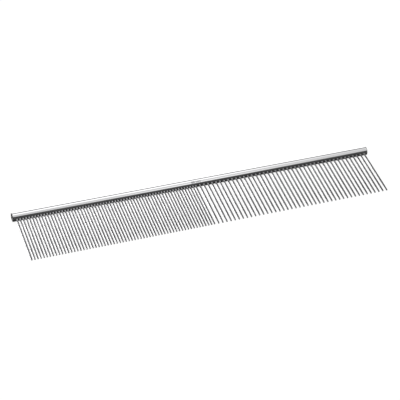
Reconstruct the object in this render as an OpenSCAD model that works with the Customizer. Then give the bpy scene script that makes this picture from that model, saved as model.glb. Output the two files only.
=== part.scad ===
/* [Spine] */
// Overall length of the spine rod, end face to end face
spine_len = 250; // [249:1:260]
// Diameter of the round spine rod
spine_d = 6; // [5.4:0.1:7]
// Radius of the rounded edge around each end face
end_round = 0.4; // [0.2:0.1:1]

/* [Teeth] */
// Fine teeth, on the -X half
fine_count = 62; // [20:2:62]
// Coarse teeth, which follow them towards the +X end
coarse_count = 43; // [11:2:43]
// Spacing between neighbouring fine teeth
fine_pitch = 2; // [1.8:0.05:2]
// Spacing between neighbouring coarse teeth
coarse_pitch = 2.85; // [2.2:0.05:2.85]
// Distance from the spine's axis to the tip of a tooth
tooth_reach = 42; // [40:0.1:45]
// Diameter of a tooth along its straight stem
stem_d = 1.25; // [1.1:0.05:1.4]
// Diameter of a tooth where its rounded tip begins
tip_d = 1.05; // [0.6:0.05:1.1]
// Where the stem ends and the taper begins, from the spine's axis
taper_from = 36; // [8:1:38]
// How far a tooth's seat goes past the spine's axis
seat_past_axis = 1; // [0.4:0.1:1.6]

/* [Spacing mark] */
// Size of the mark's ticks against the teeth they stand for
mark_scale = 0.25; // [0.15:0.05:0.3]
// Ticks in each of the mark's two groups
mark_ticks = 5; // [3:1:6]
// Width of one tick
tick_w = 0.28; // [0.15:0.01:0.3]
// Height of one tick, around the spine
tick_h = 1.3; // [0.6:0.1:1.6]
// Depth of a tick at its middle
tick_depth = 0.13; // [0.13:0.01:0.2]
// Angle of the mark above the plane of the teeth
mark_angle = 55; // [30:5:90]

/* [Hidden] */
$fn = 48;
ARC_STEPS = 6;
TEETH_PER_NODE = 2;
CLEAR = 1; // how far a cutter stands out of the surface that it cuts

spine_r = spine_d / 2;
stem_r = stem_d / 2;
tip_r = tip_d / 2;
tooth_count = fine_count + coarse_count;
fine_span = (fine_count - 1) * fine_pitch;
row_span = fine_span + coarse_count * coarse_pitch;

// The comb lies on its spine and its tips, so the plane of the teeth leans down to the tips.
tip_centre = tooth_reach - tip_r;
lean = asin((spine_r - tip_r) / tip_centre);
front = tip_centre * cos(lean) + tip_r;
axis_y = (front - spine_r) / 2;

fine_nodes = ceil(fine_count / TEETH_PER_NODE);
coarse_nodes = ceil(coarse_count / TEETH_PER_NODE);

function two_digits(n) = n < 10 ? str("0", n) : str(n);
function node_name(kind, n) = str(kind, "_", two_digits(n + 1));
function names(kind, count) = [for (n = [0 : count - 1]) node_name(kind, n)];

// Where tooth i stands along the spine, counted from 0 at the -X end.
function tooth_x(i) =
    i < fine_count
    ? i * fine_pitch - row_span / 2
    : fine_span + (i - fine_count + 1) * coarse_pitch - row_span / 2;

// A quarter circle about (x, y), from pointing along +X to pointing along +Y.
function quarter(x, y, r) =
    [for (k = [0 : ARC_STEPS]) [x + r * cos(90 * k / ARC_STEPS), y + r * sin(90 * k / ARC_STEPS)]];

// Flips an outline end for end and keeps its winding.
function flipped(points) =
    [for (k = [len(points) - 1 : -1 : 0]) [points[k][0], -points[k][1]]];

// Takes a part from the plane of the teeth, with the spine on the X axis, to where the comb lies.
module lying()
    translate([0, axis_y, spine_r]) rotate([lean, 0, 0]) children();

// Points a part's +Z axis along a tooth, from the spine's axis towards the tip.
module along_tooth(x)
    translate([x, 0, 0]) rotate([90, 0, 0]) children();

module rod() {
    end_arc = quarter(spine_r - end_round, spine_len / 2 - end_round, end_round);
    end_half = concat(end_arc, [[0, spine_len / 2]]);
    rotate([0, 90, 0])
        rotate_extrude()
            polygon(concat(flipped(end_half), end_half));
}

module tooth_seat()
    translate([0, 0, -seat_past_axis])
        cylinder(d = stem_d, h = seat_past_axis + spine_r + CLEAR);

module tooth() {
    stem = [[0, -seat_past_axis], [stem_r, -seat_past_axis], [stem_r, taper_from]];
    tip = quarter(0, tip_centre, tip_r);
    rotate_extrude()
        polygon(concat(stem, tip));
}

// One group of ticks, counted away from the middle of the mark.
module tick_group(pitch, side)
    for (k = [0 : mark_ticks - 1])
        translate([side * (k + 1) * pitch * mark_scale, 0, spine_r - tick_depth + CLEAR])
            cube([tick_w, tick_h, 2 * CLEAR], center = true);

// Close ticks on the fine side and wide ticks on the coarse side of the change in spacing.
module spacing_mark()
    translate([tooth_x(fine_count - 1), 0, 0])
        rotate([90 - mark_angle, 0, 0]) {
            tick_group(fine_pitch, -1);
            tick_group(coarse_pitch, 1);
        }

module spine()
    color("gainsboro")
        lying()
            difference() {
                rod();
                for (i = [0 : tooth_count - 1])
                    along_tooth(tooth_x(i)) tooth_seat();
                spacing_mark();
            }

// The teeth from number "first", up to one node's worth and not past number "last".
module teeth(first, last)
    color("silver")
        lying()
            for (i = [first : min(first + TEETH_PER_NODE - 1, last)])
                along_tooth(tooth_x(i)) tooth();

module fine_teeth(n)
    teeth(n * TEETH_PER_NODE, fine_count - 1);

module coarse_teeth(n)
    teeth(fine_count + n * TEETH_PER_NODE, tooth_count - 1);

spine();
for (n = [0 : fine_nodes - 1])
    fine_teeth(n);
for (n = [0 : coarse_nodes - 1])
    coarse_teeth(n);
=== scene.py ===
from collections import namedtuple
from math import cos, radians, sin

import bmesh
import bpy
from mathutils import Matrix, Vector


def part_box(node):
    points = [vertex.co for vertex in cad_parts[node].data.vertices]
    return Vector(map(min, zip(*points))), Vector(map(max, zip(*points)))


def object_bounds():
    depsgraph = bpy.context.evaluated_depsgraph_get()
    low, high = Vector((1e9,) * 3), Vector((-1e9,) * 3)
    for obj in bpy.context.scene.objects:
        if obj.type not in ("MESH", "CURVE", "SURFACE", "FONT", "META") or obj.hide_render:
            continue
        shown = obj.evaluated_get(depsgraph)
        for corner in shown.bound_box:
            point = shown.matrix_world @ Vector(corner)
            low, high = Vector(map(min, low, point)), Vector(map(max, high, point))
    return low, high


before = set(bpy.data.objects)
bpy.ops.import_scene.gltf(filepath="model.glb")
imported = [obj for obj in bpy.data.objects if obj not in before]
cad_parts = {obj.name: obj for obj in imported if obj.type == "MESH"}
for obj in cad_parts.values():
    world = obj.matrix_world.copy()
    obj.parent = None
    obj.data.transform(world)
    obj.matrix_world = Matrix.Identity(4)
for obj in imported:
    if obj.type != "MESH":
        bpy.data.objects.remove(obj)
cad_low, cad_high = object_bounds()

MM = 0.001
spine_low, spine_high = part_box("spine")
SPINE_AXIS = (spine_low + spine_high) / 2
SPINE_R = (spine_high.y - spine_low.y) / 2
SPINE_HALF = (spine_high.x - spine_low.x) / 2
COMB_CENTRE = (cad_low + cad_high) / 2

CAMERA_AZIMUTH = radians(20.41)
CAMERA_ELEVATION = radians(38.70)
CAMERA_ROLL = radians(2.21)
CAMERA_DISTANCE = 1.0367
CAMERA_LENS_MM = 141.5
CAMERA_SEES_TO = 100.0
AIM = COMB_CENTRE + Vector((-2.49, 1.03, 0.12)) * MM

# The spine's metal. A tone is a factor on the colour, and the two ranges follow the smudges.
CHROME = (0.86, 0.86, 0.87)
CHROME_ROUGHNESS = (0.04, 0.10)
CHROME_TONE = (0.97, 1.02)
SMUDGE_NOISE = (0.3, 0.7)
SMUDGES_PER_M = 70.0
SMUDGE_DETAIL = 3.0
GRAIN_ROUGHNESS = 0.02
ETCHED_ROUGHNESS = 0.5
ETCHED_TONE = 0.25
BARE_ROUGHNESS = 0.12
# The sawn ends' colour is painted shade, far darker than bare metal.
PAINTED_END_SHADE_TONE = 0.15

# Where the spine is etched: near its middle, on its upper side and deeper than its surface.
MARK_HALF = 5 * MM
MARK_ABOVE_AXIS = SPINE_R / 4
MARK_MIN_DEPTH = 0.045 * MM

# How far the bare metal of a sawn end reaches along the spine; its darkness there is painted shade.
BARE_AND_SHADED_REACH = 0.5 * MM

# The teeth's metal. Its tone falls from the roots to the tips and from the fine end to the coarse end:
# painted light at the roots and the fine end, painted shade at the tips and towards the coarse end.
STEEL = (0.50, 0.50, 0.51)
STEEL_ROUGHNESS = (0.20, 0.32)
ROOT_PAINTED_LIGHT = 1.38
TIP_PAINTED_SHADE = 0.93
FINE_END_PAINTED_LIGHT = 1.30
PAINTED_ROW_SHADE_AT_ROOTS = 0.40
PAINTED_ROW_SHADE_AT_TIPS = 0.70
PIN_TONE = (0.94, 1.06)
PIN_NOISE = (0.25, 0.75)
PINS_PER_M = 350.0
PIN_DETAIL = 1.0

# Both metals' drawn grain, in streaks to the metre, and how high it stands.
STREAKS_ALONG = 60.0
CHROME_STREAKS_ACROSS = 2500.0
STEEL_STREAKS_ACROSS = 3000.0
GRAIN_DETAIL = 4.0
GRAIN_HEIGHT = 0.02 * MM
CHROME_GRAIN = 0.15
STEEL_GRAIN = 0.1

# The studio.
ROOM_R = 3.0
ROOM_SEGMENTS = 96
ROOM_LEVEL = 0.03
WORLD_LEVEL = 1.05
FLOOR_HALF = 20.0
FLOOR_WHITE = 0.12
FLOOR_GLOW = 0.92

# Each card: its turn around the spine from and to (0 in front of the comb, 90 overhead, 180 behind it,
# 270 below), its reach along the spine's direction from and to (-1 to 1, + towards the coarse teeth),
# the width of its soft edge around and along, and its brightness. The last six light the other views.
Card = namedtuple("Card", "turn_from turn_to along_from along_to soft_turn soft_along level")
CARDS = {
    "overhead softbox": Card(40, 120, 0.00, 0.60, 5, 0.20, 0.65),
    "front edge of the softbox": Card(25, 50, 0.20, 0.35, 10, 0.20, 0.90),
    "ceiling": Card(85, 120, 0.05, 0.35, 10, 0.20, 0.65),
    "between ceiling and wall": Card(110, 155, -0.30, 0.50, 15, 0.20, 0.15),
    "white wall behind": Card(150, 225, -0.60, 0.50, 10, 0.10, 1.50),
    "card behind on the left": Card(205, 230, -0.70, -0.25, 15, 0.20, 2.30),
    "white table on the left": Card(205, 250, -0.80, -0.15, 15, 0.35, 1.50),
    "light from the front": Card(-30, 20, 0.00, 0.65, 20, 0.25, 0.04),
    "ceiling on the left": Card(75, 115, -1.10, -0.05, 10, 0.20, 0.70),
    "ceiling on the right": Card(60, 120, 0.60, 1.10, 20, 0.20, 0.85),
    "wall behind on the right": Card(160, 215, 0.65, 1.10, 10, 0.20, 0.90),
    "low front wall on the left": Card(-25, 5, -0.90, -0.50, 10, 0.10, 0.80),
    "low front wall on the right": Card(-25, 35, 0.50, 1.10, 20, 0.10, 0.60),
    "far left wall": Card(-60, 60, -1.10, -0.85, 20, 0.10, 0.60),
}
# A dark flag in front of the cards behind the comb on the left. The end face mirrors it.
FLAG = Card(205, 255, -0.30, -0.05, 10, 0.10, 1.0)


class Nodes:
    """A material's node tree, with short calls that add a node and wire its inputs."""

    def __init__(self, material):
        material.use_nodes = True
        self.tree = material.node_tree
        self.tree.nodes.clear()
        self.x = 0

    def add(self, kind, settings=(), **inputs):
        node = self.tree.nodes.new(kind)
        self.x += 180
        node.location = (self.x, 0)
        for key, value in dict(settings).items():
            setattr(node, key, value)
        for key, value in inputs.items():
            self.feed(node, key.replace("_", " "), value)
        return node

    def feed(self, node, key, value):
        socket = node.inputs[int(key)] if key.isdigit() else node.inputs[key]
        if isinstance(value, bpy.types.NodeSocket):
            self.tree.links.new(value, socket)
        else:
            socket.default_value = value

    def math(self, operation, a, b=0.0, c=0.0):
        node = self.add("ShaderNodeMath", {"operation": operation})
        for key, value in enumerate((a, b, c)):
            self.feed(node, str(key), value)
        return node.outputs[0]

    def noise(self, vector, detail):
        return self.add("ShaderNodeTexNoise", Vector=vector, Scale=1.0, Detail=detail).outputs["Fac"]

    def spread(self, value, low, high, value_low=0.0, value_high=1.0, soft=False):
        """Takes value_low to low and value_high to high, and stays at the nearer one outside them."""
        node = self.add("ShaderNodeMapRange", {"interpolation_type": "SMOOTHSTEP" if soft else "LINEAR"})
        self.feed(node, "Value", value)
        self.feed(node, "From Min", value_low)
        self.feed(node, "From Max", value_high)
        self.feed(node, "To Min", low)
        self.feed(node, "To Max", high)
        return node.outputs["Result"]

    def place(self):
        return self.add("ShaderNodeTexCoord").outputs["Object"]

    def stretched(self, *scale):
        """Object coordinates, so many times finer along each axis."""
        return self.add("ShaderNodeMapping", Vector=self.place(), Scale=scale).outputs["Vector"]

    def scaled(self, colour, factor):
        node = self.add("ShaderNodeVectorMath", {"operation": "SCALE"})
        self.feed(node, "0", colour)
        self.feed(node, "Scale", factor)
        return node.outputs["Vector"]

    def mixed(self, factor, a, b):
        """a where the factor is 0, b where it is 1, for plain numbers."""
        return self.math("MULTIPLY_ADD", factor, self.math("SUBTRACT", b, a), a)

    def within(self, distance, half, soft):
        """1 up to about half, then down to 0 over a soft edge."""
        return self.spread(distance, 1.0, 0.0, half - soft / 2, half + soft / 2, soft=True)

    def card(self, turn, along, card):
        """How much of a card is seen in a direction: 1 on it, 0 off it, between on its soft edges."""
        middle = (card.turn_from + card.turn_to) / 2
        offset = self.math("WRAP", self.math("SUBTRACT", turn, middle), 180.0, -180.0)
        around = self.within(self.math("ABSOLUTE", offset), card.turn_to - middle, card.soft_turn)
        centre = (card.along_from + card.along_to) / 2
        offset = self.math("ABSOLUTE", self.math("SUBTRACT", along, centre))
        return self.math("MULTIPLY", around, self.within(offset, card.along_to - centre, card.soft_along))

    def metal(self, colour, roughness, grain, strength):
        bump = self.add("ShaderNodeBump", Height=grain, Strength=strength, Distance=GRAIN_HEIGHT)
        shader = self.add("ShaderNodeBsdfPrincipled", Metallic=1.0, Roughness=roughness)
        self.feed(shader, "Normal", bump.outputs["Normal"])
        self.feed(shader, "Base Color", colour)
        self.surface(shader.outputs["BSDF"])

    def surface(self, shader):
        output = self.add("ShaderNodeOutputMaterial")
        self.tree.links.new(shader, output.inputs["Surface"])


def spine_chrome():
    """Bright plating with a fine grain along the rod and faint smudges, etched ticks, and unplated sawn
    ends painted dark as shade.
    """
    material = bpy.data.materials.new("spine_chrome")
    n = Nodes(material)
    grain = n.noise(n.stretched(STREAKS_ALONG, CHROME_STREAKS_ACROSS, CHROME_STREAKS_ACROSS), GRAIN_DETAIL)
    smudge = n.noise(n.stretched(SMUDGES_PER_M, SMUDGES_PER_M, SMUDGES_PER_M), SMUDGE_DETAIL)
    from_axis = n.add("ShaderNodeVectorMath", {"operation": "SUBTRACT"})
    n.feed(from_axis, "0", n.place())
    n.feed(from_axis, "1", SPINE_AXIS)
    x, y, z = n.add("ShaderNodeSeparateXYZ", Vector=from_axis.outputs["Vector"]).outputs
    from_middle = n.math("ABSOLUTE", x)

    depth = n.math("SQRT", n.math("ADD", n.math("MULTIPLY", y, y), n.math("MULTIPLY", z, z)))
    cut = n.math("LESS_THAN", depth, SPINE_R - MARK_MIN_DEPTH)
    near_mark = n.math("LESS_THAN", from_middle, MARK_HALF)
    on_top = n.math("GREATER_THAN", z, MARK_ABOVE_AXIS)
    etched = n.math("MULTIPLY", n.math("MULTIPLY", cut, near_mark), on_top)
    # The sawn ends: bare metal that is rougher, with painted shade on its colour.
    bare_and_shaded = n.spread(from_middle, 0.0, 1.0, SPINE_HALF - BARE_AND_SHADED_REACH, SPINE_HALF - BARE_AND_SHADED_REACH / 2, soft=True)

    smudged = n.spread(smudge, *CHROME_ROUGHNESS, *SMUDGE_NOISE)
    polish = n.math("ADD", n.spread(grain, -GRAIN_ROUGHNESS, GRAIN_ROUGHNESS), smudged)
    roughness = n.mixed(bare_and_shaded, n.mixed(etched, polish, ETCHED_ROUGHNESS), BARE_ROUGHNESS)
    tone = n.mixed(bare_and_shaded, n.mixed(etched, n.spread(smudge, *CHROME_TONE), ETCHED_TONE), PAINTED_END_SHADE_TONE)
    n.metal(n.scaled(CHROME, tone), roughness, grain, CHROME_GRAIN)
    return material


def tooth_steel():
    """Satin steel pins, drawn lengthwise, with painted light at their roots and painted shade at their tips
    and towards the coarse end, and a little uneven from pin to pin.
    """
    material = bpy.data.materials.new("tooth_steel")
    n = Nodes(material)
    grain = n.noise(n.stretched(STEEL_STREAKS_ACROSS, STREAKS_ALONG, STEEL_STREAKS_ACROSS), GRAIN_DETAIL)
    pin_to_pin = n.noise(n.stretched(PINS_PER_M, 0.0, 0.0), PIN_DETAIL)
    x, y, z = n.add("ShaderNodeSeparateXYZ", Vector=n.place()).outputs
    # Painted light near the roots and painted shade at the tips, as a tone on the colour.
    root_light_tip_shade = n.spread(y, ROOT_PAINTED_LIGHT, TIP_PAINTED_SHADE, SPINE_AXIS.y, cad_low.y)
    # Painted light at the fine end, falling off as painted shade towards the coarse end.
    share = n.spread(x, 0.0, 1.0, cad_low.x, cad_high.x)
    row_shade = n.spread(y, PAINTED_ROW_SHADE_AT_ROOTS, PAINTED_ROW_SHADE_AT_TIPS, SPINE_AXIS.y, cad_low.y)
    row_light = n.math("SUBTRACT", FINE_END_PAINTED_LIGHT, n.math("MULTIPLY", share, row_shade))
    pin = n.spread(pin_to_pin, *PIN_TONE, *PIN_NOISE)
    # The painted light and shade, times each pin's own uneven tone.
    tone = n.math("MULTIPLY", n.math("MULTIPLY", root_light_tip_shade, row_light), pin)
    n.metal(n.scaled(STEEL, tone), n.spread(grain, *STEEL_ROUGHNESS), grain, STEEL_GRAIN)
    return material


def add_camera():
    forward = Vector((
        sin(CAMERA_AZIMUTH) * cos(CAMERA_ELEVATION),
        cos(CAMERA_AZIMUTH) * cos(CAMERA_ELEVATION),
        -sin(CAMERA_ELEVATION),
    ))
    level = Vector((cos(CAMERA_AZIMUTH), -sin(CAMERA_AZIMUTH), 0))
    above = level.cross(forward)
    right = level * cos(CAMERA_ROLL) + above * sin(CAMERA_ROLL)
    up = right.cross(forward)
    data = bpy.data.cameras.new("camera")
    data.lens = CAMERA_LENS_MM
    data.clip_end = CAMERA_SEES_TO
    camera = bpy.data.objects.new("camera", data)
    bpy.context.scene.collection.objects.link(camera)
    turn = Matrix((right, up, -forward)).transposed().to_4x4()
    camera.matrix_world = Matrix.Translation(AIM - forward * CAMERA_DISTANCE) @ turn
    bpy.context.scene.camera = camera


def only_in_reflections(obj):
    obj.visible_camera = False
    obj.visible_diffuse = False
    obj.visible_shadow = False
    obj.visible_transmission = False
    obj.visible_volume_scatter = False


def add_surround():
    """The studio as the metal reflects it: soft white cards in a dark room, seen only in reflections."""
    mesh = bpy.data.meshes.new("surround")
    form = bmesh.new()
    bmesh.ops.create_uvsphere(form, u_segments=ROOM_SEGMENTS, v_segments=ROOM_SEGMENTS // 2, radius=ROOM_R)
    bmesh.ops.reverse_faces(form, faces=form.faces)
    form.to_mesh(mesh)
    form.free()
    surround = bpy.data.objects.new("surround", mesh)
    surround.location = COMB_CENTRE
    bpy.context.scene.collection.objects.link(surround)
    material = bpy.data.materials.new("surround_cards")
    n = Nodes(material)
    x, y, z = n.add("ShaderNodeSeparateXYZ", Vector=n.place()).outputs
    along = n.math("DIVIDE", x, ROOM_R)
    turn = n.math("DEGREES", n.math("ARCTAN2", z, n.math("MULTIPLY", y, -1.0)))
    light = ROOM_LEVEL
    for card in CARDS.values():
        light = n.math("MULTIPLY_ADD", n.card(turn, along, card), card.level, light)
    shade = n.math("SUBTRACT", 1.0, n.math("MULTIPLY", n.card(turn, along, FLAG), FLAG.level))
    glow = n.add("ShaderNodeEmission", Strength=n.math("MULTIPLY", light, shade))
    n.surface(glow.outputs["Emission"])
    mesh.materials.append(material)
    only_in_reflections(surround)


def add_floor():
    """A pale floor that glows nearly white by itself, so that the comb casts only a faint shadow."""
    mesh = bpy.data.meshes.new("floor")
    form = bmesh.new()
    bmesh.ops.create_grid(form, x_segments=1, y_segments=1, size=FLOOR_HALF)
    form.to_mesh(mesh)
    form.free()
    floor = bpy.data.objects.new("floor", mesh)
    bpy.context.scene.collection.objects.link(floor)
    material = bpy.data.materials.new("pale_floor")
    n = Nodes(material)
    matte = n.add("ShaderNodeBsdfDiffuse", Color=(FLOOR_WHITE, FLOOR_WHITE, FLOOR_WHITE, 1))
    glow = n.add("ShaderNodeEmission", Strength=FLOOR_GLOW)
    both = n.add("ShaderNodeAddShader")
    n.feed(both, "0", matte.outputs["BSDF"])
    n.feed(both, "1", glow.outputs["Emission"])
    n.surface(both.outputs["Shader"])
    mesh.materials.append(material)
    floor.visible_glossy = False


def light_world():
    world = bpy.data.worlds.new("studio")
    bpy.context.scene.world = world
    world.use_nodes = True
    back = world.node_tree.nodes["Background"]
    back.inputs["Color"].default_value = (1, 1, 1, 1)
    back.inputs["Strength"].default_value = WORLD_LEVEL


def finish_metal():
    chrome, steel = spine_chrome(), tooth_steel()
    for name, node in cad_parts.items():
        for slot in node.material_slots:
            slot.material = chrome if name == "spine" else steel


def set_view():
    view = bpy.context.scene.view_settings
    view.view_transform = "Standard"
    view.look = "None"


add_camera()
set_view()
light_world()
add_floor()
add_surround()
finish_metal()
